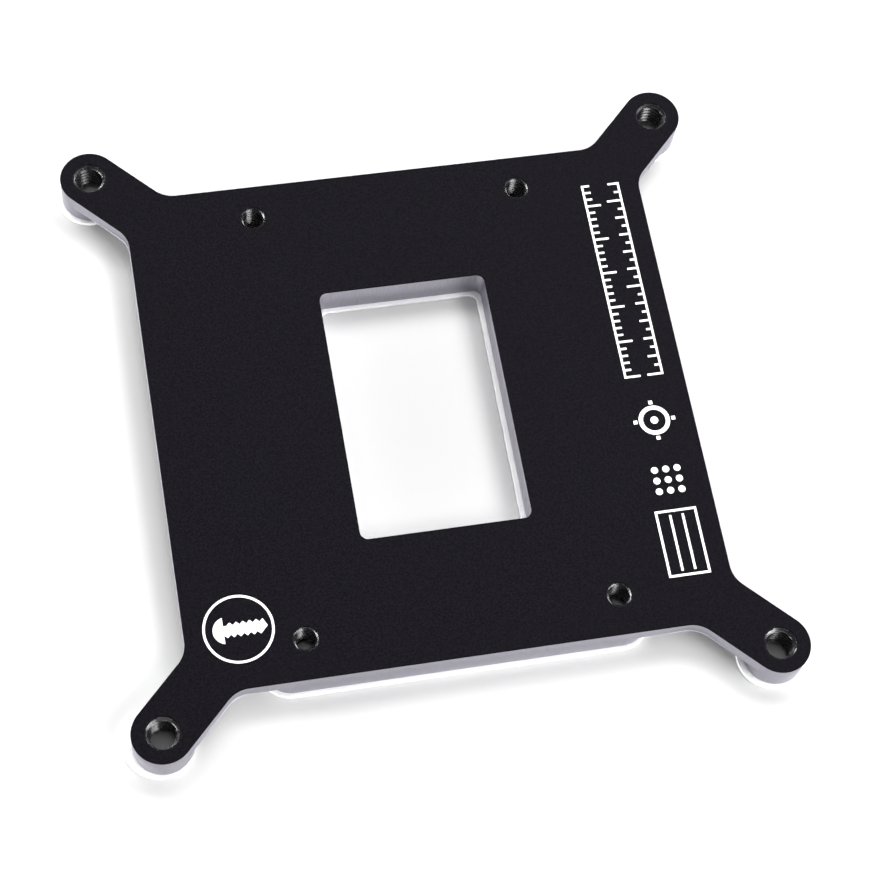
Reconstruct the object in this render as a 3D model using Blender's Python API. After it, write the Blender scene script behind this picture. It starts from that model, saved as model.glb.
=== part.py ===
"""Backplate for a processor cooler, with its foam pads.

The plate lies behind the main board and takes the cooler's four screws. It is milled from one piece
of aluminium: a thin web with four diagonal arms. On its underside stand a raised frame round the
window and a round boss at the end of each arm, and only these reach the board. Die-cut foam pads are
stuck to the frame and to the bosses.

Metres, +Z up. The origin is at the centre of the cooler's hole pattern, on the surface that the pads
lie on. +Y is the rear, and the plate's black outer face looks up.
"""

from math import cos, radians, sin, sqrt, tan

import bmesh
import bpy
from mathutils import Vector

MM = 0.001

# Cooler screws: a square pattern of threaded holes, one at the end of each arm
COOLER_SPACING = 75.0 * MM
COOLER_THREAD = 4.0 * MM

# Bracket screws: smaller threaded holes in the raised frame, closer together at the rear. Each pair
# lies a margin in from the body's front or rear edge
BRACKET_THREAD = 3.0 * MM
BRACKET_FRONT_SPACING = 38.5 * MM
BRACKET_REAR_SPACING = 34.8 * MM
BRACKET_FRONT_MARGIN = 5.1 * MM
BRACKET_REAR_MARGIN = 4.6 * MM

# Every threaded hole is chamfered at 45 degrees at both ends
THREAD_CHAMFER = 0.15 * MM

# Outline of the plate
BODY_WIDTH = 67.2 * MM
BODY_DEPTH = 67.2 * MM
ARM_WIDTH = 7.5 * MM
ARM_FILLET = 3.7 * MM

# Heights of the metal
PLATE_THICKNESS = 4.5 * MM
WEB_THICKNESS = 2.0 * MM

# The outer edges and the window's edges are broken at 45 degrees, so that none cuts a finger
EDGE_BREAK = 0.08 * MM

# Window in the middle
WINDOW_WIDTH = 21.4 * MM
WINDOW_DEPTH = 33.9 * MM
WINDOW_RADIUS = 1.0 * MM

# Raised frame: flush with the plate's front and rear edges, and a little to the left of its middle
RAISED_WIDTH = 47.6 * MM
RAISED_SHIFT = -0.9 * MM
RAISED_RADIUS = 3.5 * MM

# Foam pads: each stands out past the metal that it is stuck to, with a hole for each screw
PAD_THICKNESS = 0.5 * MM
PAD_OVERHANG = 0.48 * MM
BOND_GAP = 0.3 * MM
SCREW_CLEARANCE = 0.25 * MM

# How far each pad was stuck, by hand, from its true place
FRAME_PAD_SHIFT = Vector((-0.15 * MM, 0.05 * MM))
CORNER_PAD_SHIFTS = {
    "front_left": Vector((-0.45 * MM, 0.0)),
    "front_right": Vector((-0.30 * MM, -0.10 * MM)),
    "rear_left": Vector((0.0, -0.05 * MM)),
    "rear_right": Vector((0.0, 0.0)),
}

# Which way each corner lies from the middle
CORNERS = {
    "front_left": Vector((-1, -1)),
    "front_right": Vector((1, -1)),
    "rear_left": Vector((-1, 1)),
    "rear_right": Vector((1, 1)),
}

# Straight facets of each round edge
TIP_STEPS = 20
FILLET_STEPS = 6
CORNER_STEPS = 8
HOLE_SIDES = 36

# How far a cutter runs past the faces that it cuts
OVERCUT = 1.0 * MM

# Heights and radii that follow from the sizes above
METAL_BOTTOM = PAD_THICKNESS + BOND_GAP
METAL_TOP = METAL_BOTTOM + PLATE_THICKNESS
WEB_BOTTOM = METAL_TOP - WEB_THICKNESS
BOSS_RADIUS = ARM_WIDTH / 2
COOLER_RADIUS = COOLER_THREAD / 2
BRACKET_RADIUS = BRACKET_THREAD / 2


def clear_scene():
    for thing in list(bpy.data.objects):
        bpy.data.objects.remove(thing, do_unlink=True)


def finish(name, colour, roughness, metallic):
    """A Principled material of one linear colour."""
    made = bpy.data.materials.new(name)
    made.use_nodes = True
    shader = made.node_tree.nodes["Principled BSDF"]
    shader.inputs["Base Color"].default_value = (*colour, 1.0)
    shader.inputs["Roughness"].default_value = roughness
    shader.inputs["Metallic"].default_value = metallic
    made.diffuse_color = (*colour, 1.0)
    return made


def arc(centre, radius, start, end, steps):
    """Points on a circle from one angle to another, in degrees, both ends included."""
    angles = [radians(start + (end - start) * step / steps) for step in range(steps + 1)]
    return [Vector((centre.x + radius * cos(a), centre.y + radius * sin(a))) for a in angles]


def circle(centre, radius, sides):
    return arc(centre, radius, 0, 360, sides)[:-1]


def rounded_rectangle(centre, width, depth, radius, inset=0.0):
    """Anticlockwise outline of a rectangle with round corners, drawn in by the inset all round."""
    width, depth, radius = width - 2 * inset, depth - 2 * inset, radius - inset
    points = []
    for turn, (side_x, side_y) in enumerate([(1, 1), (-1, 1), (-1, -1), (1, -1)]):
        corner = centre + Vector((side_x * (width / 2 - radius), side_y * (depth / 2 - radius)))
        points += arc(corner, radius, 90 * turn, 90 * turn + 90, CORNER_STEPS)
    return points


def plate_outline(inset=0.0):
    """Anticlockwise outline of the plate: a square body whose corners run out into arms.

    An arm is a strip at 45 degrees with a half-round tip about its screw hole. Each side of the strip
    leaves an edge of the body at 135 degrees, and a fillet tangent to both rounds the corner. An inset
    draws the outline in all round, which makes the tips smaller and the fillets larger.
    """
    half_width, half_depth = BODY_WIDTH / 2 - inset, BODY_DEPTH / 2 - inset
    tip_radius, fillet = ARM_WIDTH / 2 - inset, ARM_FILLET + inset
    offset = sqrt(2) * tip_radius + fillet * tan(radians(22.5))
    points = []
    for turn, (side_x, side_y) in enumerate([(1, 1), (-1, 1), (-1, -1), (1, -1)]):
        heading = 45 + 90 * turn
        tip = Vector((side_x, side_y)) * COOLER_SPACING / 2
        beside = Vector((side_x * (half_width + fillet), side_y * (half_width - offset)))
        beyond = Vector((side_x * (half_depth - offset), side_y * (half_depth + fillet)))
        first, last = (beside, beyond) if turn % 2 == 0 else (beyond, beside)
        points += arc(first, fillet, heading + 135, heading + 90, FILLET_STEPS)
        points += arc(tip, tip_radius, heading - 90, heading + 90, TIP_STEPS)
        points += arc(last, fillet, heading - 90, heading - 135, FILLET_STEPS)
    return points


def raised_frame(inset):
    """Outline of the raised frame."""
    return rounded_rectangle(Vector((RAISED_SHIFT, 0)), RAISED_WIDTH, BODY_DEPTH, RAISED_RADIUS, inset)


def window(inset):
    """Outline of the window."""
    return rounded_rectangle(Vector((0, 0)), WINDOW_WIDTH, WINDOW_DEPTH, WINDOW_RADIUS, inset)


def cooler_hole(corner):
    """Centre of the cooler's screw hole in one corner."""
    return CORNERS[corner] * COOLER_SPACING / 2


def bracket_holes():
    """Centres of the four bracket holes, a pair at the front and a pair at the rear."""
    front_y = BRACKET_FRONT_MARGIN - BODY_DEPTH / 2
    rear_y = BODY_DEPTH / 2 - BRACKET_REAR_MARGIN
    return [
        Vector((-BRACKET_FRONT_SPACING / 2, front_y)),
        Vector((BRACKET_FRONT_SPACING / 2, front_y)),
        Vector((BRACKET_REAR_SPACING / 2, rear_y)),
        Vector((-BRACKET_REAR_SPACING / 2, rear_y)),
    ]


def add_levels(form, levels):
    """A closed solid from outlines one above another, each a list of points and a height."""
    rings = [[form.verts.new((*point, height)) for point in points] for points, height in levels]
    for lower, upper in zip(rings, rings[1:]):
        for here in range(len(lower)):
            after = (here + 1) % len(lower)
            form.faces.new((lower[here], lower[after], upper[after], upper[here]))
    form.faces.new(reversed(rings[0]))
    form.faces.new(rings[-1])


def add_prism(form, outline, bottom, top):
    """A straight-sided solid over an outline."""
    add_levels(form, [(outline, bottom), (outline, top)])


def add_standing(form, outline):
    """What stands down from the web, with the edge of its foot broken.

    The outline is a function of the inset. The solid runs up into the web, so that they join.
    """
    add_levels(form, [
        (outline(EDGE_BREAK), METAL_BOTTOM),
        (outline(0.0), METAL_BOTTOM + EDGE_BREAK),
        (outline(0.0), WEB_BOTTOM + WEB_THICKNESS / 2),
    ])


def add_opening(form, outline, chamfer):
    """A cutter through the metal, which opens at 45 degrees where it meets both faces.

    The outline is a function of the inset, and a negative inset makes it larger.
    """
    flare = outline(-chamfer - OVERCUT)
    add_levels(form, [
        (flare, METAL_BOTTOM - OVERCUT),
        (outline(0.0), METAL_BOTTOM + chamfer),
        (outline(0.0), METAL_TOP - chamfer),
        (flare, METAL_TOP + OVERCUT),
    ])


def add_threaded_hole(form, centre, radius):
    """A cutter for a thread, as wide as the thread's outer diameter."""
    add_opening(form, lambda inset: circle(centre, radius - inset, HOLE_SIDES), THREAD_CHAMFER)


def add_clearance_hole(form, centre, radius):
    """A cutter through a pad, wide enough for the screw to pass."""
    add_prism(form, circle(centre, radius + SCREW_CLEARANCE, HOLE_SIDES), -OVERCUT, PAD_THICKNESS + OVERCUT)


def solid(name, form, colour=None):
    """An object that holds a finished bmesh."""
    mesh = bpy.data.meshes.new(name)
    form.to_mesh(mesh)
    form.free()
    if colour:
        mesh.materials.append(colour)
    made = bpy.data.objects.new(name, mesh)
    bpy.context.collection.objects.link(made)
    return made


def combine(base, operation, name, form):
    """Join a second solid to the base, or cut it away, and keep it in the file as a hidden guide."""
    guide = solid(name, form)
    guide.hide_render = True
    guide.display_type = "WIRE"
    step = base.modifiers.new(name, "BOOLEAN")
    step.operation = operation
    step.solver = "EXACT"
    step.object = guide


def make_backplate(colour):
    """The milled plate: web and arms, then what stands on the underside, then window and holes."""
    web = bmesh.new()
    add_levels(web, [
        (plate_outline(), WEB_BOTTOM),
        (plate_outline(), METAL_TOP - EDGE_BREAK),
        (plate_outline(EDGE_BREAK), METAL_TOP),
    ])
    plate = solid("backplate", web, colour)

    raised = bmesh.new()
    add_standing(raised, raised_frame)
    for corner in CORNERS:
        centre = cooler_hole(corner)
        add_standing(raised, lambda inset: circle(centre, BOSS_RADIUS - inset, 2 * TIP_STEPS))
    combine(plate, "UNION", "raised_underside", raised)

    openings = bmesh.new()
    add_opening(openings, window, EDGE_BREAK)
    for corner in CORNERS:
        add_threaded_hole(openings, cooler_hole(corner), COOLER_RADIUS)
    for centre in bracket_holes():
        add_threaded_hole(openings, centre, BRACKET_RADIUS)
    combine(plate, "DIFFERENCE", "plate_openings", openings)
    return plate


def make_frame_pad(colour):
    """The pad under the raised frame, open at the window and at the bracket screws."""
    sheet = bmesh.new()
    outline = [point + FRAME_PAD_SHIFT for point in raised_frame(-PAD_OVERHANG)]
    add_prism(sheet, outline, 0, PAD_THICKNESS)
    pad = solid("frame_pad", sheet, colour)

    openings = bmesh.new()
    width, depth = WINDOW_WIDTH - 2 * PAD_OVERHANG, WINDOW_DEPTH - 2 * PAD_OVERHANG
    outline = rounded_rectangle(FRAME_PAD_SHIFT, width, depth, WINDOW_RADIUS)
    add_prism(openings, outline, -OVERCUT, PAD_THICKNESS + OVERCUT)
    for centre in bracket_holes():
        add_clearance_hole(openings, centre, BRACKET_RADIUS)
    combine(pad, "DIFFERENCE", "frame_pad_openings", openings)
    return pad


def make_corner_pad(corner, colour):
    """The round pad under one boss, with a hole for the cooler's screw."""
    centre = cooler_hole(corner) + CORNER_PAD_SHIFTS[corner]
    disc = bmesh.new()
    add_prism(disc, circle(centre, BOSS_RADIUS + PAD_OVERHANG, 2 * TIP_STEPS), 0, PAD_THICKNESS)
    pad = solid(f"corner_pad_{corner}", disc, colour)

    opening = bmesh.new()
    add_clearance_hole(opening, centre, COOLER_RADIUS)
    combine(pad, "DIFFERENCE", f"corner_pad_{corner}_opening", opening)
    return pad


def smooth_round_faces(thing):
    thing.data.shade_smooth()
    thing.data.set_sharp_from_angle(angle=radians(30))


def main():
    clear_scene()
    black_aluminium = finish("black_anodised_aluminium", (0.012, 0.012, 0.014), 0.55, 0.0)
    white_foam = finish("white_foam", (0.80, 0.80, 0.82), 0.85, 0.0)
    smooth_round_faces(make_backplate(black_aluminium))
    smooth_round_faces(make_frame_pad(white_foam))
    for corner in CORNERS:
        smooth_round_faces(make_corner_pad(corner, white_foam))


main()
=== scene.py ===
# %% [markdown]
# # A milled backplate with foam pads
#
# The plate lies behind a computer's main board and takes the four screws of a processor cooler. It
# is a flat piece of aluminium, black on top and drawn black beneath as painted shade, with bare milled
# edges, eight threaded holes, and white foam pads between it and the board.
#
# The solids come from CAD, packed, in metres, with +Z up. They are loaded first and never moved. The
# rest of this lesson makes a finer surface for each of them, with real screw threads, and gives
# each its finish. The solid plate's lowest and highest points are read, to compare its height with this one's.

import bmesh
import bpy
import numpy as np
from mathutils import Matrix, Vector


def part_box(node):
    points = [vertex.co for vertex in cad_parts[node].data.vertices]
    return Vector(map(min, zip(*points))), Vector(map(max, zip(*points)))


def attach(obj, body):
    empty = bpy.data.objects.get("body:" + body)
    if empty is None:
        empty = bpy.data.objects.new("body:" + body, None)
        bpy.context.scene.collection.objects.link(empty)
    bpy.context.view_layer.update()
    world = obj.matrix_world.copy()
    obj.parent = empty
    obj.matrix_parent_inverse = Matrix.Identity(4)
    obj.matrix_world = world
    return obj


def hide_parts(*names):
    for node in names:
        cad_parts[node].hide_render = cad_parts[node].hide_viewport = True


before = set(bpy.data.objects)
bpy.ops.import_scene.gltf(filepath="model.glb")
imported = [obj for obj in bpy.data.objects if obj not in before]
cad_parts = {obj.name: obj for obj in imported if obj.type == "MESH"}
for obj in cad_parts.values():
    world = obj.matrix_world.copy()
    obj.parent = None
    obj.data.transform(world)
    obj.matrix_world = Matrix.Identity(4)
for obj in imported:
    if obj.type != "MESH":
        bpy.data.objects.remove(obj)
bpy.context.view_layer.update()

MM = 0.001

# %% [markdown]
# ## The camera
#
# A camera can be typed in as three rotations, but nobody can picture those. Here it is a place, a
# point on the black face that it looks at, and a roll about its line of sight. The long lens stands
# 0.28 m away, which gives the plate its mild perspective.

# %% Camera
CAMERA_PLACE = Vector((-0.03923, -0.11432, 0.26403))
CAMERA_TARGET = Vector((0.00064, -0.00447, 0.00530))
CAMERA_ROLL, LENS, SENSOR = 10.92, 94.35, 36.0

camera = bpy.data.objects.new("camera", bpy.data.cameras.new("camera"))
camera.data.sensor_width = SENSOR
camera.data.lens = LENS
camera.data.clip_start = 0.01
aim = (CAMERA_TARGET - CAMERA_PLACE).to_track_quat("-Z", "Y").to_matrix().to_4x4()
roll = Matrix.Rotation(np.radians(CAMERA_ROLL), 4, "Z")
camera.matrix_world = Matrix.Translation(CAMERA_PLACE) @ aim @ roll
bpy.context.collection.objects.link(camera)
bpy.context.scene.camera = camera
print("camera to target:", round((CAMERA_TARGET - CAMERA_PLACE).length / MM, 1), "mm")

# %% [markdown]
# ## Colours and nodes
#
# A colour picked from a screen is in sRGB, but a shader wants linear light. One function turns the
# hex value that a person reads into the numbers that the shader wants. Another fills a node's inputs,
# each with a value or with a link. A third adds a node of any kind, fills it the same way and hands
# on the output that the next node needs. The last one starts a material from its name.

# %% Small helpers for materials
def linear(hex_colour):
    """Linear RGBA from "#rrggbb": c / 12.92 below 0.04045, and ((c + 0.055) / 1.055) ** 2.4 above."""
    c = np.array([int(hex_colour[i : i + 2], 16) for i in (1, 3, 5)]) / 255
    return (*np.where(c <= 0.04045, c / 12.92, ((c + 0.055) / 1.055) ** 2.4), 1.0)


def fill(node, inputs):
    """Each input of the node linked from a socket, or set to a value."""
    for name, value in inputs.items():
        if isinstance(value, bpy.types.NodeSocket):
            node.id_data.links.new(value, node.inputs[name])
        else:
            node.inputs[name].default_value = value


def add_node(tree, kind, inputs, output, stops=(), **settings):
    """The named output of a new node, with its inputs filled and its properties set.

    stops are pairs of position and colour, for a colour ramp.
    """
    made = tree.nodes.new(kind)
    for name, value in settings.items():
        setattr(made, name, value)
    fill(made, inputs)
    for _ in stops[2:]:
        made.color_ramp.elements.new(0.5)
    for number, (position, colour) in enumerate(stops):
        stop = made.color_ramp.elements[number]
        stop.position, stop.color = position, colour
    return made.outputs[output]


def new_material(name):
    """An empty material, its node tree, and the Principled shader that is already in it."""
    made = bpy.data.materials.new(name)
    made.use_nodes = True
    return made, made.node_tree, made.node_tree.nodes["Principled BSDF"]


print("mid grey #808080 is", round(linear("#808080")[0], 3), "in linear light")

# %% [markdown]
# ## Floor and light
#
# The plate lies on a pale sheet in a small light tent, lit until the sheet is just past white. The
# standard view transform keeps it white, where the default one would turn it grey. The tent is bright
# low down and its roof is dark, because the roof is what the black face mirrors. The sheet is small and
# the tent goes on below it, so from low down no dark strip of unlit floor lies behind the plate.

# %% Floor
bpy.context.scene.view_settings.view_transform = "Standard"

pale_sheet, tree, shader = new_material("pale_paper_sheet")
fill(shader, {"Base Color": linear("#c6c6c6"), "Roughness": 0.9})

SPREAD = 0.25
sheet = bpy.data.meshes.new("studio_floor")
corners = [(-SPREAD, -SPREAD, 0), (SPREAD, -SPREAD, 0), (SPREAD, SPREAD, 0), (-SPREAD, SPREAD, 0)]
sheet.from_pydata(corners, [], [(0, 1, 2, 3)])
sheet.materials.append(pale_sheet)
floor = bpy.data.objects.new("studio_floor", sheet)
bpy.context.collection.objects.link(floor)
print("floor:", 2 * SPREAD, "m wide")

# %% The tent, as a world whose brightness depends on height
TENT_WALL = 3.4
TENT = [(0.0, 1.0), (0.20, 1.0), (0.30, 0.02), (1.0, 0.02)]

world = bpy.data.worlds.new("light_tent")
world.use_nodes = True
bpy.context.scene.world = world
tree = world.node_tree
direction = add_node(tree, "ShaderNodeTexCoord", {}, "Generated", label="direction")
height = add_node(tree, "ShaderNodeSeparateXYZ", {"Vector": direction}, "Z", label="sine of the elevation")
greys = [(position, (grey, grey, grey, 1.0)) for position, grey in TENT]
tent = add_node(tree, "ShaderNodeValToRGB", {"Fac": height}, "Color", stops=greys, label="tent")
fill(tree.nodes["Background"], {"Color": tent, "Strength": TENT_WALL})
print("tent: sine of the elevation and share of the brightness:", TENT)

# %% [markdown]
# The softboxes stand high to the right and to the rear, so the edges of the window are in soft shadow on
# those sides. Outside the plate the same shadows would be as dark, so four long, low strips fill them in
# from all round. They shine from below the 14 degrees at which light first reaches the window's floor.

# %% Softboxes and strips
def softbox(name, azimuth, elevation, watts, width=0.20, height=0.20, distance=0.60):
    """A rectangular area light in a direction given in degrees, turned to face the origin."""
    a, e = np.radians(azimuth), np.radians(elevation)
    place = distance * Vector((np.cos(e) * np.cos(a), np.cos(e) * np.sin(a), np.sin(e)))
    light = bpy.data.lights.new(name, "AREA")
    light.shape = "RECTANGLE"
    light.size, light.size_y = width, height
    light.energy = watts
    lamp = bpy.data.objects.new(name, light)
    facing = (-place).to_track_quat("-Z", "Y").to_matrix().to_4x4()
    lamp.matrix_world = Matrix.Translation(place) @ facing
    lamp.visible_camera = False
    bpy.context.collection.objects.link(lamp)
    print(name, "from", azimuth, "degrees,", elevation, "up, gives", watts, "W")


softbox("key_right", 315, 50, 2.20, width=0.30)
softbox("key_rear_right", 42, 59, 2.20, width=0.30)
softbox("key_rear", 90, 64, 1.10)
softbox("fill_rear_left", 120, 50, 0.90)
softbox("overhead", 0, 89, 0.50)
softbox("strip_front_right", 315, 6, 5.00, width=0.60, height=0.12)
softbox("strip_rear_right", 45, 6, 3.60, width=0.60, height=0.12)
softbox("strip_rear_left", 135, 6, 5.50, width=0.60, height=0.12)
softbox("strip_left", 180, 12, 2.70, width=0.60, height=0.04)

# %% [markdown]
# ## Black anodised aluminium
#
# Anodising grows a hard, clear oxide on the metal and dyes it. It is sealed over a finely blasted
# face, so it looks matt and a little uneven, and never mirror-like. The eye reads three things: a dark,
# slightly violet grey, a fine grain, and a very soft sheen. The black hides the metal underneath, so
# the shader is a dielectric one, with the oxide's own index. Real grain is nearer 0.1 mm than the
# 0.25 mm drawn here, which is what it takes to show.
#
# A noise texture keeps near its middle value, 0.5. So a ramp from one colour to another takes its
# stops near the middle too, and a Map Range node that turns noise into roughness starts from 0.3 to 0.7.

# %% Black anodised face
NOISE_RANGE = {"From Min": 0.3, "From Max": 0.7}


def between(dark, light):
    """The stops of a ramp from one hex colour to another, as a noise goes from 0.35 to 0.65."""
    return [(0.35, linear(dark)), (0.65, linear(light))]


GRAIN, GRAIN_DEPTH = 0.25 * MM, 0.006 * MM

black_face, tree, shader = new_material("black_anodised_aluminium")
place = add_node(tree, "ShaderNodeTexCoord", {}, "Object")
grain = add_node(tree, "ShaderNodeTexNoise", {"Vector": place, "Scale": 1 / GRAIN, "Detail": 3.0},
                 "Fac", label="blasted grain")
colour = add_node(tree, "ShaderNodeValToRGB", {"Fac": grain}, "Color", stops=between("#060507", "#121116"))
matt = add_node(tree, "ShaderNodeMapRange", {"Value": grain, "To Min": 0.46, "To Max": 0.60, **NOISE_RANGE},
                "Result", label="roughness")
relief = add_node(tree, "ShaderNodeBump", {"Height": grain, "Distance": GRAIN_DEPTH}, "Normal")
fill(shader, {
    "Base Color": colour, "Roughness": matt, "Normal": relief,
    "IOR": 1.45, "Specular IOR Level": 0.030, "Specular Tint": linear("#f3f0ff"),
})
print(black_face.name, "with a grain of", GRAIN / MM, "mm,", GRAIN_DEPTH / MM, "mm deep")

# %% [markdown]
# The threads were cut before the plate was dyed, so they are black as well. A tap leaves a
# smoother surface than blasting does, and that is why a few flanks flash in the light. What is left
# of the tap's work is a slow change in the shine, and tearing about 0.1 mm wide.

# %% Black anodised threads
SHINE, TEARING, TEAR_DEPTH = 0.3 * MM, 0.12 * MM, 0.003 * MM

black_thread, tree, shader = new_material("black_anodised_thread")
place = add_node(tree, "ShaderNodeTexCoord", {}, "Object")
shine = add_node(tree, "ShaderNodeTexNoise", {"Vector": place, "Scale": 1 / SHINE, "Detail": 2.0}, "Fac")
smooth = add_node(tree, "ShaderNodeMapRange", {"Value": shine, "To Min": 0.16, "To Max": 0.32, **NOISE_RANGE},
                  "Result", label="roughness")
tearing = add_node(tree, "ShaderNodeTexNoise", {"Vector": place, "Scale": 1 / TEARING, "Detail": 1.0},
                   "Fac", label="torn metal")
relief = add_node(tree, "ShaderNodeBump", {"Height": tearing, "Distance": TEAR_DEPTH}, "Normal")
fill(shader, {"Base Color": linear("#141417"), "Roughness": smooth, "Normal": relief, "IOR": 1.60})
print(black_thread.name, "with an index of", round(shader.inputs["IOR"].default_value, 2))

# %% [markdown]
# ## Bare milled aluminium
#
# The outline was milled after the plate had been dyed, so the edges are bare. The side of a cutter
# leaves fine upright lines where each tooth passed. They are drawn with noise that is squeezed across
# the plate and drawn out along Z, so that the lines stand upright on every wall, whichever way it
# faces. A real pitch is about 0.05 mm. It is drawn at 0.12 mm here, so that it shows.

# %% Bare milled edges
LINES, LINE_DEPTH = 0.12 * MM, 0.0015 * MM

milled_wall, tree, shader = new_material("bare_milled_aluminium")
place = add_node(tree, "ShaderNodeTexCoord", {}, "Object")
upright = add_node(tree, "ShaderNodeMapping", {"Vector": place, "Scale": (1.0, 1.0, 0.05)}, "Vector")
lines = add_node(tree, "ShaderNodeTexNoise", {"Vector": upright, "Scale": 1 / LINES, "Detail": 3.0},
                 "Fac", label="cutter lines")
colour = add_node(tree, "ShaderNodeValToRGB", {"Fac": lines}, "Color", stops=between("#96949d", "#a09ea7"))
satin = add_node(tree, "ShaderNodeMapRange", {"Value": lines, "To Min": 0.32, "To Max": 0.40, **NOISE_RANGE},
                 "Result", label="roughness")
relief = add_node(tree, "ShaderNodeBump", {"Height": lines, "Distance": LINE_DEPTH}, "Normal")
fill(shader, {"Base Color": colour, "Roughness": satin, "Normal": relief, "Metallic": 1.0})
print(milled_wall.name, "with lines", LINES / MM, "mm apart")

# %% [markdown]
# The underside was cleared by a flat cutter that went back and forth. It is drawn black as painted
# shade: a dark underside sends little light back onto the floor beneath the web, so the shade there
# stays deep. The cutter's path shows as broad, faint stripes along X, one for each pass, with fine
# lines inside them. Both are noise drawn out along X.

# %% Black underside, painted shade
PASSES, FEED_LINES, FEED_DEPTH = 2.4 * MM, 0.15 * MM, 0.003 * MM

painted_shade_underside, tree, shader = new_material("underside_black_painted_shade")
place = add_node(tree, "ShaderNodeTexCoord", {}, "Object")
along = add_node(tree, "ShaderNodeMapping", {"Vector": place, "Scale": (0.03, 1.0, 1.0)}, "Vector")
passes = add_node(tree, "ShaderNodeTexNoise", {"Vector": along, "Scale": 1 / PASSES, "Detail": 0.0},
                  "Fac", label="cutter passes")
lines = add_node(tree, "ShaderNodeTexNoise", {"Vector": along, "Scale": 1 / FEED_LINES, "Detail": 2.0},
                 "Fac", label="lines in a pass")
# Black base colour as painted shade: it keeps the floor beneath the web dark.
colour = add_node(tree, "ShaderNodeValToRGB", {"Fac": passes}, "Color", stops=between("#0c0c0e", "#121215"))
satin = add_node(tree, "ShaderNodeMapRange", {"Value": lines, "To Min": 0.30, "To Max": 0.44, **NOISE_RANGE},
                 "Result", label="roughness")
relief = add_node(tree, "ShaderNodeBump", {"Height": lines, "Distance": FEED_DEPTH}, "Normal")
fill(shader, {"Base Color": colour, "Roughness": satin, "Normal": relief})
print(painted_shade_underside.name, "with passes", PASSES / MM, "mm apart")

# %% [markdown]
# ## White foam
#
# The pads are stamped from a sheet of closed-cell foam. Close up it is covered in tiny cells, which
# make it perfectly matt, and a little light passes into it, so its edges look soft.

# %% White foam
CELL, CELL_DEPTH, CLOUDS = 0.22 * MM, 0.02 * MM, 3.0 * MM

white_foam, tree, shader = new_material("white_closed_cell_foam")
place = add_node(tree, "ShaderNodeTexCoord", {}, "Object")
cells = add_node(tree, "ShaderNodeTexVoronoi", {"Vector": place, "Scale": 1 / CELL}, "Distance", label="cells")
clouds = add_node(tree, "ShaderNodeTexNoise", {"Vector": place, "Scale": 1 / CLOUDS, "Detail": 3.0}, "Fac")
colour = add_node(tree, "ShaderNodeValToRGB", {"Fac": clouds}, "Color", stops=between("#efeff1", "#f6f6f7"))
relief = add_node(tree, "ShaderNodeBump", {"Height": cells, "Distance": CELL_DEPTH}, "Normal")
fill(shader, {
    "Base Color": colour, "Roughness": 0.95, "Normal": relief, "IOR": 1.3,
    "Subsurface Weight": 0.3, "Subsurface Radius": (1.0, 1.0, 1.0), "Subsurface Scale": 0.3 * MM,
})
print(white_foam.name, "with cells of", CELL / MM, "mm")

# %% [markdown]
# ## Loops
#
# Every wall of the plate follows a closed loop: its outline, the raised frame, a boss, the window or
# a hole. A loop is an array of points in millimetres, worked out from arcs. An inset draws a loop in
# all round, which is how an edge gets its 45 degree break: the same loop again, a little smaller
# and a little higher.

# %% Arcs and rounded rectangles
def arc(centre, radius, start, end, steps):
    """Points at centre + radius * (cos a, sin a), as a goes from start to end in degrees."""
    a = np.radians(np.linspace(start, end, steps + 1))
    return np.add(centre, radius * np.stack([np.cos(a), np.sin(a)], axis=1))


def circle(centre, radius, sides, start=0.0):
    """A closed loop of one full turn, without the last point, which is the first again."""
    return arc(centre, radius, start, start + 360, sides)[:-1]


def rounded_rectangle(centre, width, depth, radius, inset=0.0, steps=16):
    """Four quarter circles, each centred one radius in from its corner."""
    x, y, r = width / 2 - radius, depth / 2 - radius, radius - inset
    middles = np.add(centre, [(x, y), (-x, y), (-x, -y), (x, -y)])
    return np.concatenate([arc(m, r, 90 * k, 90 * k + 90, steps) for k, m in enumerate(middles)])


print("a quarter circle of 16 steps, 1 mm in radius, is", len(arc((0, 0), 1, 0, 90, 16)), "points")

# %% Sizes of the plate, in millimetres, as in the solids
TOP, WEB, FOOT = 5.3, 3.3, 0.8
BODY, ARM, FILLET, EDGE = 67.2, 7.5, 3.7, 0.08
COOLER = 37.5 * np.array([(1, 1), (-1, 1), (-1, -1), (1, -1)])
BRACKET = np.array([(17.4, 29.0), (-17.4, 29.0), (-19.25, -28.5), (19.25, -28.5)])
FRAME = {"centre": (-0.9, 0), "width": 47.6, "depth": BODY, "radius": 3.5}
WINDOW = {"centre": (0, 0), "width": 21.4, "depth": 33.9, "radius": 1.0}
lowest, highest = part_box("backplate")
print("solid from", round(lowest[2] / MM, 2), "to", round(highest[2] / MM, 2), "mm; here from", FOOT, "to", TOP)

# %% [markdown]
# ## The outline
#
# The body is a square whose corners run out into arms at 45 degrees. Each arm ends in a half circle
# round its screw hole, and a fillet tangent to the arm and to the body rounds the inner corners. An
# inset makes the tips smaller and the fillets larger, and all the centres stay where they are.
#
# The cutter that milled the outline pushed a burr out along the lower edge of the web. It is less than
# 0.1 mm wide, leans outwards, and catches the light as a thin bright line. Where the wall runs on
# down a boss or the raised frame there is no lower edge, and so no burr.

# %% Outline of the plate
TIP_STEPS, FILLET_STEPS = 48, 14
BURR, BURR_HEIGHT, BURR_END = 0.07, 0.12, 0.3
HAIR = 1e-6


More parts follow.
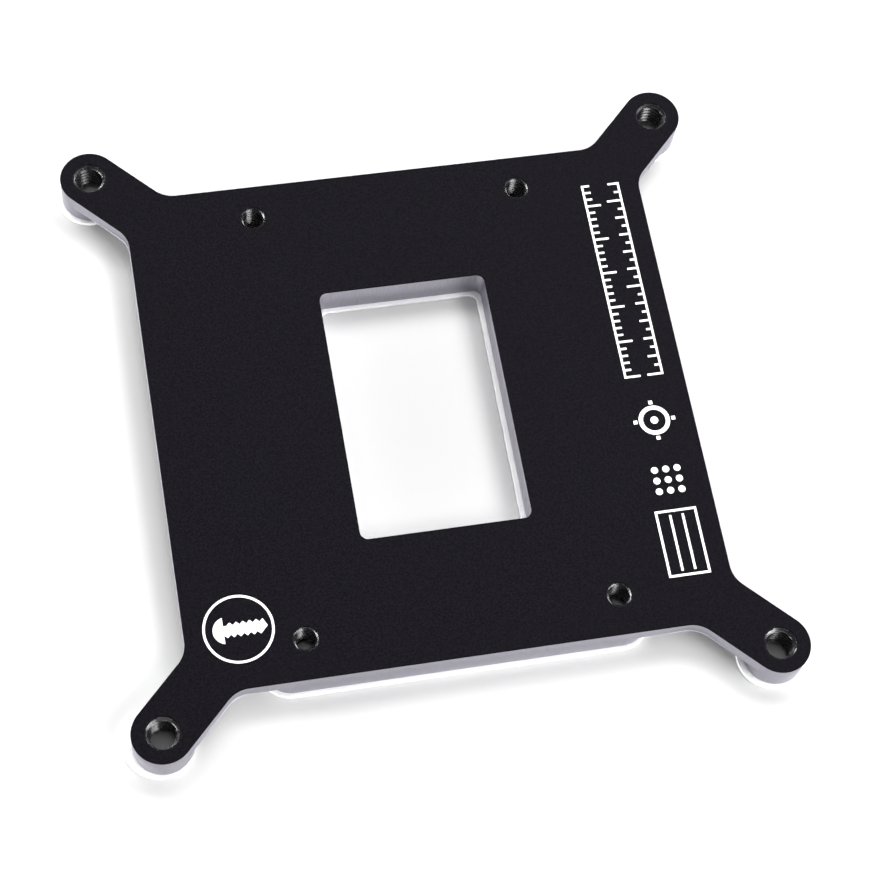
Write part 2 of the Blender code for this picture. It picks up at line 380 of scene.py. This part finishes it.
def plate_outline(inset=0.0):
    """Anticlockwise: for each corner a fillet, a half circle about the hole, and a fillet.

    A fillet's centre is one fillet radius outside the body's edge, and it meets the edge where the arm
    does, plus fillet * tan(22.5 degrees). The rear and front edges also get the two points at which the
    raised frame's corners begin, so that the walls below can share them. One more point lies just
    beyond each shared one, where the burr comes to its end.
    """
    half, tip, fillet = BODY / 2 - inset, ARM / 2 - inset, FILLET + inset
    offset = np.sqrt(2) * tip + fillet * np.tan(np.radians(22.5))
    straight = FRAME["width"] / 2 - FRAME["radius"]
    pieces = []
    for turn, hole in enumerate(COOLER):
        side, heading = np.sign(hole), 45 + 90 * turn
        ends = [side * (half + fillet, half - offset), side * (half - offset, half + fillet)]
        first, last = ends if turn % 2 == 0 else ends[::-1]
        pieces.append(arc(first, fillet, heading + 135, heading + 90, FILLET_STEPS))
        round_tip = arc(hole, tip, heading - 90, heading + 90, TIP_STEPS)
        inwards = -BURR_END * side / np.sqrt(2)
        pieces += [round_tip[:1] + inwards, round_tip, round_tip[-1:] + inwards]
        pieces.append(arc(last, fillet, heading - 90, heading - 135, FILLET_STEPS))
        if turn % 2 == 0:
            run = np.array([straight + BURR_END, straight, -straight, -straight - BURR_END])
            x = FRAME["centre"][0] + side[0] * run
            pieces.append(np.stack([x, np.full(4, side[1] * half)], axis=1))
    return np.concatenate(pieces)


def shared_with_walls_below(points):
    """True on a boss's half circle, and on the straight part of the raised frame's front and rear.

    Each limit is a hair wider than the real one, to take in the points that lie on it.
    """
    distance = np.linalg.norm(points[:, None] - COOLER, axis=2)
    on_boss = np.min(distance, axis=1) < ARM / 2 + HAIR
    straight = FRAME["width"] / 2 - FRAME["radius"] + HAIR
    return on_boss | (np.abs(points[:, 0] - FRAME["centre"][0]) < straight)


outline = plate_outline()
burr = np.where(shared_with_walls_below(outline)[:, None], outline, plate_outline(-BURR))
print(len(outline), "points,", np.ptp(outline, axis=0).round(2), "mm across the arms")

# %% [markdown]
# ## Walls from loops
#
# A wall joins loops of as many points, level by level, as a grid of four-sided faces. Listed upwards
# the faces of an anticlockwise loop look outwards, and listed downwards they look into a hole.

# %% Walls
def grid_faces(rows, columns):
    """Corner numbers of the faces of a rows by columns grid of points, row after row."""
    n = np.arange(rows * columns).reshape(rows, columns)
    return np.stack([n[:-1, :-1], n[:-1, 1:], n[1:, 1:], n[1:, :-1]], axis=-1).reshape(-1, 4)


def wall(levels, finish):
    """A closed wall: point (i, j) is point j of loop i, at height i, and the last column is the first again."""
    loops = np.array([np.column_stack([loop, np.full(len(loop), height)]) for loop, height in levels])
    loops = np.concatenate([loops, loops[:, :1]], axis=1)
    return loops.reshape(-1, 3), grid_faces(*loops.shape[:2]), finish


def standing(loop, top):
    """A wall that stands down to the foot, where its edge is broken. loop is a function of the inset."""
    return wall([(loop(EDGE), FOOT), (loop(0), FOOT + EDGE), (loop(0), top)], WALL)


def window(inset):
    """The window's loop. A negative inset makes it wider."""
    return rounded_rectangle(**WINDOW, inset=inset)


FACE, THREAD, WALL, UNDER = range(4)
walls = [
    wall([(burr, WEB), (outline, WEB + BURR_HEIGHT), (outline, TOP - EDGE)], WALL),
    wall([(outline, TOP - EDGE), (plate_outline(EDGE / 2), TOP)], FACE),
    standing(lambda inset: rounded_rectangle(**FRAME, inset=inset), WEB),
    wall([(window(-EDGE / 2), TOP), (window(0), TOP - EDGE)], FACE),
    wall([(window(0), TOP - EDGE), (window(0), FOOT + EDGE), (window(-EDGE), FOOT)], WALL),
]
for turn, hole in enumerate(COOLER):
    walls.append(standing(lambda inset: circle(hole, ARM / 2 - inset, 2 * TIP_STEPS, 90 * turn - 45), WEB))
print(len(walls), "walls,", sum(len(faces) for _, faces, _ in walls), "faces")

# %% [markdown]
# ## Screw threads
#
# A thread could be cut with a Boolean, but its thousands of small faces would be slow and fragile.
# The wall of a threaded hole is itself a grid: one way round the hole, the other way up it. If each
# row climbs by one pitch in a turn, every row runs along the helix, and the tooth depends on the row
# alone. Eight rows for each pitch are enough for sharp crests. A countersink then widens both ends.

# %% Threaded holes
M4, M3 = {"major": 2.0, "pitch": 0.7}, {"major": 1.5, "pitch": 0.5}
SIDES, CHAMFER = 56, 0.15
ROWS = np.array([0, 2, 3.6, 5.3, 7, 9, 11, 13.5]) / 16
TOOTH_AT, TOOTH, TOOTH_DEPTH = np.array([0, 2, 7, 11, 16]) / 16, (0, 0, 1, 1, 0), 0.541


def threaded_hole(centre, major, pitch):
    """Height = start + pitch * (row + turn), held between foot and top. major is the largest radius.

    The tooth is an ISO thread's: root for 1/8 of the pitch, a 60 degree flank, crest for 1/4 of it, and
    a flank back, 0.541 pitch deep. The radius is the tooth's or the 45 degree countersink's,
    whichever is larger: max(major - depth * tooth, major + chamfer - distance to the nearest face).
    """
    count = int(np.ceil((TOP - FOOT) / pitch + 1))
    row = (np.arange(count)[:, None] + ROWS).ravel()
    row = np.append(row, count)[::-1, None]
    turn = np.linspace(0, 1, SIDES + 1)[None, :]
    height = np.clip(FOOT + pitch * (row + turn - 1), FOOT, TOP)
    tooth = np.interp(row % 1, TOOTH_AT, TOOTH)
    cone = major + CHAMFER - np.minimum(height - FOOT, TOP - height)
    radius = np.maximum(major - TOOTH_DEPTH * pitch * tooth, cone)
    angle = 2 * np.pi * turn
    x, y = centre[0] + radius * np.cos(angle), centre[1] + radius * np.sin(angle)
    faces = grid_faces(*height.shape)
    on_cone = height.ravel()[faces].mean(axis=1) > TOP - CHAMFER
    return np.stack([x, y, height], axis=-1).reshape(-1, 3), faces, np.where(on_cone, FACE, THREAD)


threads = [threaded_hole(hole, **M4) for hole in COOLER] + [threaded_hole(hole, **M3) for hole in BRACKET]
print(len(threads), "holes,", sum(len(faces) for _, faces, _ in threads), "faces")

# %% [markdown]
# ## One closed shell
#
# All the walls go into one mesh, and points that coincide are merged. What is still open lies in
# three flat levels: the foot, the underside of the web and the top. Filling the open edges of each level
# closes the shell, holes and all. The normals are then worked out afresh, and edges over 30 degrees
# are kept sharp, so that flat faces look flat. Half a thousandth of a millimetre is near enough for
# two points to be one, and a whole one for a point to lie in a level.

# %% Build and fill
MERGE, LEVEL, SHARP = 0.0005, 0.001, 30


def build(name, surfaces, levels, materials):
    """A mesh of joined surfaces. Open edges at each level's height are filled, with its material."""
    points = np.concatenate([points for points, _, _ in surfaces]) * MM
    starts = np.cumsum([0] + [len(points) for points, _, _ in surfaces[:-1]])
    faces = np.concatenate([faces + start for (_, faces, _), start in zip(surfaces, starts)])
    mesh = bpy.data.meshes.new(name)
    mesh.from_pydata(points, [], faces)
    finishes = [np.broadcast_to(finish, len(faces)) for _, faces, finish in surfaces]
    mesh.polygons.foreach_set("material_index", np.concatenate(finishes))
    form = bmesh.new()
    form.from_mesh(mesh)
    bmesh.ops.remove_doubles(form, verts=form.verts, dist=MERGE * MM)
    for height, finish in levels:
        level = {v for v in form.verts if abs(v.co.z / MM - height) < LEVEL}
        rim = [e for e in form.edges if e.is_boundary and level.issuperset(e.verts)]
        filled = bmesh.ops.triangle_fill(form, use_beauty=True, edges=rim)["geom"]
        for face in filled:
            if isinstance(face, bmesh.types.BMFace):
                face.material_index = finish
    bmesh.ops.recalc_face_normals(form, faces=form.faces)
    open_edges = sum(not e.is_manifold for e in form.edges)
    form.to_mesh(mesh)
    form.free()
    for material in materials:
        mesh.materials.append(material)
    mesh.shade_smooth()
    mesh.set_sharp_from_angle(angle=np.radians(SHARP))
    made = bpy.data.objects.new(name, mesh)
    bpy.context.collection.objects.link(made)
    print(name, len(mesh.polygons), "faces,", open_edges, "open edges")
    return made


plate = build("milled_plate", walls + threads, [(FOOT, UNDER), (WEB, UNDER), (TOP, FACE)],
              [black_face, black_thread, milled_wall, painted_shade_underside])
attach(plate, "root")
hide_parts("backplate")

# %% [markdown]
# ## Foam pads
#
# A stamped pad is never quite true: the foam gives under the knife, so its edge wanders by a few
# hundredths of a millimetre, and the lower edge is rounded. The loops of a pad are spaced evenly,
# moved a little by a few slow waves, and pushed out or in along their own normals, level by level.
# The pads are stuck on by hand, so each sits up to half a millimetre off.

# %% Loops that wander
def evenly(loop, spacing):
    """The loop again, with its points about one spacing apart: x and y against the length run so far."""
    closed = np.concatenate([loop, loop[:1]])
    run = np.concatenate([[0], np.cumsum(np.linalg.norm(np.diff(closed, axis=0), axis=1))])
    s = np.linspace(0, run[-1], int(run[-1] / spacing), endpoint=False)
    return np.stack([np.interp(s, run, closed[:, 0]), np.interp(s, run, closed[:, 1])], axis=1)


def wander(loop, size):
    """Each point moved by sums of sines of its own place, up to about the size in millimetres."""
    x, y = loop.T
    dx = np.sin(0.9 * y + 0.4 * x) + 0.6 * np.sin(2.3 * y - 1.1 * x + 1.0) + 0.4 * np.sin(5.1 * y + 2.0)
    dy = np.sin(0.8 * x - 0.5 * y + 2.0) + 0.6 * np.sin(2.1 * x + 1.3 * y) + 0.4 * np.sin(4.7 * x + 0.5)
    return loop + size / 2 * np.stack([dx, dy], axis=1)


def push(loop, distance):
    """Each point moved along its normal, which is the way to its right as the loop runs."""
    along = np.roll(loop, -1, axis=0) - np.roll(loop, 1, axis=0)
    normal = np.stack([along[:, 1], -along[:, 0]], axis=1)
    return loop + distance * normal / np.linalg.norm(normal, axis=1, keepdims=True)


print("evenly spaced circle:", len(evenly(circle((0, 0), 4, 96), 0.3)), "points")

# %% Foam pads
PAD_TOP, SPACING, KNIFE = 0.79, 0.3, 0.035
PROFILE = [(-0.32, 0.0), (-0.18, 0.03), (-0.07, 0.12), (0.0, 0.28), (0.0, 0.70), (-0.04, PAD_TOP)]


def pad(name, outer, holes, node):
    """A pad of one outer loop and some holes. Each pair of the profile is a push outwards and a height."""
    outer = wander(evenly(outer, SPACING), KNIFE)
    surfaces = [wall([(push(outer, out), height) for out, height in PROFILE], 0)]
    for hole in holes:
        hole = wander(evenly(hole, SPACING), KNIFE)
        surfaces.append(wall([(push(hole, -out), height) for out, height in PROFILE[::-1]], 0))
    made = build(name, surfaces, [(0.0, 0), (PAD_TOP, 0)], [white_foam])
    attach(made, "root")
    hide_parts(node)


OVERHANG, CLEARANCE, FRAME_SHIFT = 0.48, 0.25, np.array([-0.15, 0.05])
CORNER_SHIFTS = {
    "rear_right": (0.25, 0.15), "rear_left": (-0.25, 0.15),
    "front_left": (-0.55, 0.12), "front_right": (-0.30, 0.10),
}
frame_loop = rounded_rectangle(**FRAME, inset=-OVERHANG) + FRAME_SHIFT
pad_window = rounded_rectangle(
    FRAME_SHIFT, WINDOW["width"] - 2 * OVERHANG, WINDOW["depth"] - 2 * OVERHANG, WINDOW["radius"])
pad_holes = [circle(hole, M3["major"] + CLEARANCE, 60) for hole in BRACKET]
pad("foam_frame_pad", frame_loop, [pad_window] + pad_holes, "frame_pad")
for (corner, shift), hole in zip(CORNER_SHIFTS.items(), COOLER):
    disc = circle(hole + shift, ARM / 2 + OVERHANG, 96)
    screw_hole = circle(hole + shift, M4["major"] + CLEARANCE, 60)
    pad(f"foam_pad_{corner}", disc, [screw_hole], f"corner_pad_{corner}")

# %% [markdown]
# ## Printed marks
#
# The black face carries a few marks in white. They are plain ones: a ring with a screw in it, a
# millimetre scale beside one of twentieths of an inch, a target, a field of dots, and a ruled field to
# write in. A text object could draw letters, but these need only straight lines and circles, so each is a
# loop again. The ink is a film that stands 0.008 mm proud, closed all round like the plate.
#
# Screen-printing ink has a faint sheen, and it covers well.

# %% White ink
BLOTCH, BLOTCH_DEPTH = 0.35 * MM, 0.002 * MM

white_ink, tree, shader = new_material("white_screen_print_ink")
place = add_node(tree, "ShaderNodeTexCoord", {}, "Object")
film = add_node(tree, "ShaderNodeTexNoise", {"Vector": place, "Scale": 1 / BLOTCH, "Detail": 3.0},
                "Fac", label="thickness of the film")
colour = add_node(tree, "ShaderNodeValToRGB", {"Fac": film}, "Color", stops=between("#f0f0f2", "#fafafa"))
sheen = add_node(tree, "ShaderNodeMapRange", {"Value": film, "To Min": 0.45, "To Max": 0.60, **NOISE_RANGE},
                 "Result", label="roughness")
relief = add_node(tree, "ShaderNodeBump", {"Height": film, "Distance": BLOTCH_DEPTH}, "Normal")
fill(shader, {"Base Color": colour, "Roughness": sheen, "Normal": relief})
print(white_ink.name, "with blotches of", BLOTCH / MM, "mm")

# %% Shapes of ink
INK = (TOP - 0.004, TOP + 0.008)


def solid(loop):
    """The wall of a filled shape. Its two open ends are closed when the print is built."""
    return wall([(loop, height) for height in INK], 0)


def band(outer, inner):
    """A closed line between two loops of as many points: up the outer, across, down the inner, and back."""
    low, high = INK
    return wall([(outer, low), (outer, high), (inner, high), (inner, low), (outer, low)], 0)


def block(left, right, low, high):
    """A rectangle's corners, from its limits in x and in y."""
    return np.array([(left, low), (right, low), (right, high), (left, high)])


def scale(spine, reach, start, pitch, width=0.28):
    """The outline of a ruler's scale. Tick k is at y = start + k * pitch and ends at x = spine + reach[k]."""
    y = start + pitch * np.arange(len(reach))
    base = np.full(len(reach), spine + np.sign(reach[0]) * width)
    x = np.stack([base, spine + reach, spine + reach, base], axis=1)
    y = np.stack([y - width / 2, y - width / 2, y + width / 2, y + width / 2], axis=1)
    ticks = np.stack([x, y], axis=-1).reshape(-1, 2)
    return np.concatenate([ticks, [(spine, ticks[-1, 1]), (spine, ticks[0, 1])]])


def screw(centre, length=6.2, head=1.3, cap=1.65, crest=0.95, root=0.58, pitch=0.8):
    """A pan head's arc, then x every half pitch along the shank, with y at the crest or the root in turn.

    The head is 2 * cap wide, and its arc has the radius (head ** 2 + cap ** 2) / (2 * head).
    """
    left = centre[0] - length / 2
    radius = (head**2 + cap**2) / (2 * head)
    opening = np.degrees(np.arcsin(cap / radius))
    dome = arc((left + radius, 0), radius, 180 - opening, 180 + opening, 24)
    x = np.arange(left + head, left + length - pitch / 4, pitch / 2)
    y = np.where(np.arange(len(x)) % 2 == 0, root, crest)
    lower, upper = np.stack([x, -y], axis=1), np.stack([x + pitch / 2, y], axis=1)[::-1]
    tip = [(left + length + pitch / 2, 0)]
    return np.concatenate([dome, lower, tip, upper, [(left + head, root)]]) + (0, centre[1])


print("a scale of 29 ticks has", len(scale(0, np.ones(29), 0, 1)), "points")

# %% The print
STROKE, TWENTIETH = 0.3, 25.4 / 20
BADGE, TARGET, DOTS = np.array([-27.0, -26.1]), np.array([28.45, -6.3]), np.array([28.45, -14.5])
LEFT, RIGHT, LOW, HIGH = 25.8, 31.1, -27.3, -18.5

millimetres = np.where(np.arange(29) % 5 == 0, 2.1, 1.1)
twentieths = np.where(np.arange(23) % 10 == 0, 2.1, np.where(np.arange(23) % 2 == 0, 1.5, 0.9))
marks = [
    band(circle(BADGE, 4.3, 128), circle(BADGE, 4.3 - STROKE, 128)), solid(screw(BADGE)),
    solid(scale(25.9, millimetres, 0.0, 1.0)), solid(scale(31.0, -twentieths, 0.0, TWENTIETH)),
    band(circle(TARGET, 2.0, 72), circle(TARGET, 1.45, 72)), solid(circle(TARGET, 0.5, 32)),
    band(block(LEFT, RIGHT, LOW, HIGH), block(LEFT + STROKE, RIGHT - STROKE, LOW + STROKE, HIGH - STROKE)),
    solid(block(27.5, 27.5 + STROKE, -26.6, -19.2)), solid(block(29.1, 29.1 + STROKE, -26.6, -19.2)),
]
x, y = TARGET
for out in (2.2, -2.7):
    marks += [solid(block(x + out, x + out + 0.5, y - 0.25, y + 0.25))]
    marks += [solid(block(x - 0.25, x + 0.25, y + out, y + out + 0.5))]
steps = [(i, j) for i in (-1, 0, 1) for j in (-1, 0, 1)]
marks += [solid(circle(DOTS + 1.45 * np.array(step), 0.45, 24)) for step in steps]

printed = build("printed_marks", marks, [(height, 0) for height in INK], [white_ink])
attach(printed, "root")
